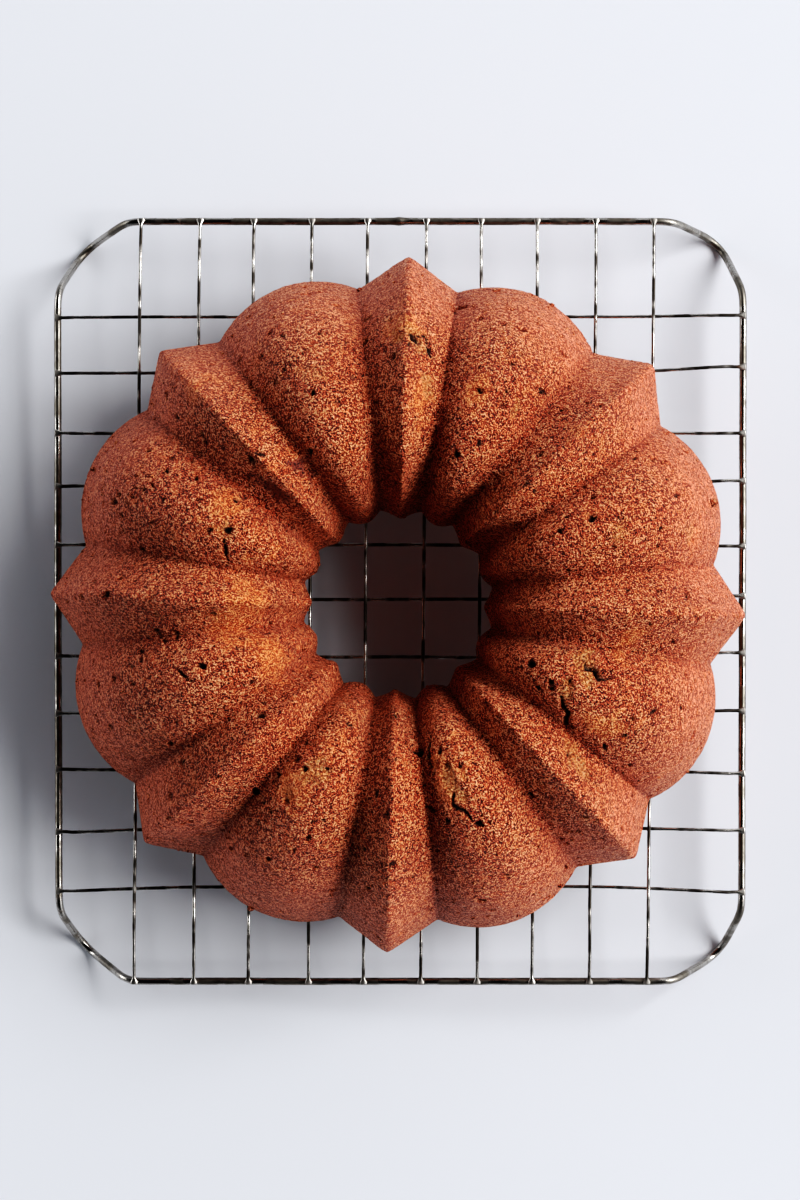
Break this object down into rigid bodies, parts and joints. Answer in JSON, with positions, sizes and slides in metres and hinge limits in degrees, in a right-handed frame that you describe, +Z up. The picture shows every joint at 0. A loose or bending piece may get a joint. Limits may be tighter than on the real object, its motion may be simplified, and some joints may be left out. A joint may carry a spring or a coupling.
{
  "type": "spice ring cake on wire rack",
  "caption": "Fluted ring cake with ridges and round lobes, lying flat side down on a rectangular wire cooling rack that stands on bent corner feet.",
  "frame": {"origin": "on the table, under the middle of the whole object", "axes": "+Z up, +Y along the rack's longer side and away from the viewer, +X to the right"},
  "size_m": [0.2542, 0.28, 0.0983],
  "materials": {
    "crust": "matte",
    "frame_steel": "satin",
    "thin_steel": "satin"
  },
  "bodies": {
    "root": {"ring_cake": "crust", "frame_wire": "frame_steel", "cross_wire_01": "thin_steel", "cross_wire_02": "thin_steel", "cross_wire_03": "thin_steel", "cross_wire_04": "thin_steel", "cross_wire_05": "thin_steel", "cross_wire_06": "thin_steel", "cross_wire_07": "thin_steel", "cross_wire_08": "thin_steel", "cross_wire_09": "thin_steel", "cross_wire_10": "thin_steel", "cross_wire_11": "thin_steel", "long_wire_01": "thin_steel", "long_wire_02": "thin_steel", "long_wire_03": "thin_steel", "long_wire_04": "thin_steel", "long_wire_05": "thin_steel", "long_wire_06": "thin_steel", "long_wire_07": "thin_steel", "long_wire_08": "thin_steel", "long_wire_09": "thin_steel", "long_wire_10": "thin_steel"}
  },
  "joints": []
}
